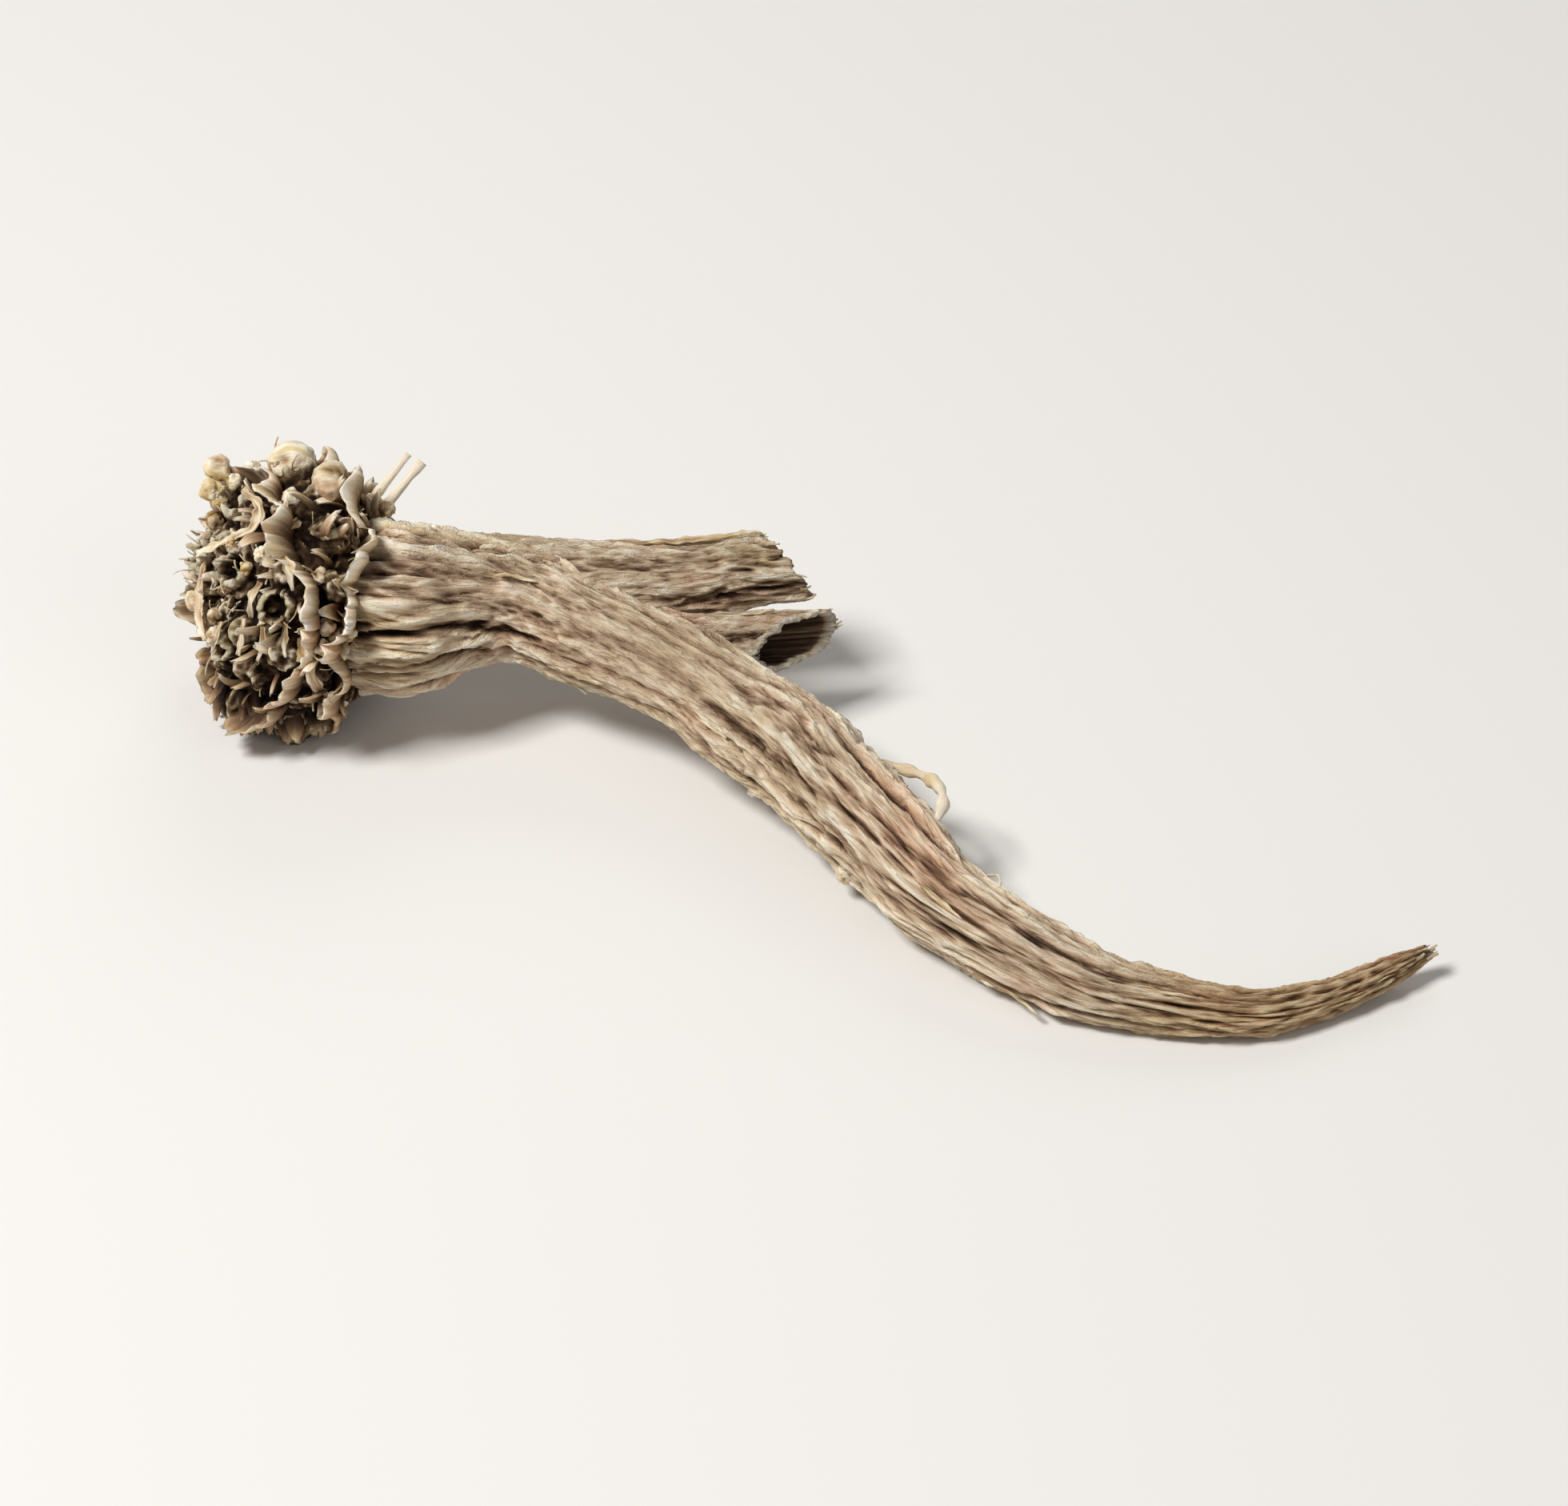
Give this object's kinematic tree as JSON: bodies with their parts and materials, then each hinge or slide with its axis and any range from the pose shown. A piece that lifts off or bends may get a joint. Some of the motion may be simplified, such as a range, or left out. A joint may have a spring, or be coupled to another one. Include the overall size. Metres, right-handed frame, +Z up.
{
  "type": "dried pellitory root",
  "caption": "Whole dried root lying on its side: furrowed tapering taproot with a short broken side branch, a torn hollow side root and a knobbly, frilled crown.",
  "frame": {"origin": "on the surface that the root lies on, under the middle of its bounding box", "axes": "+X from the crown to the tip, +Y away from the picture's viewer, +Z up from the surface"},
  "size_m": [0.0906, 0.0501, 0.0193],
  "materials": {
    "root_bark": "dry, furrowed, matte bark"
  },
  "bodies": {
    "root": {"pellitory_root": "root_bark"}
  },
  "joints": []
}
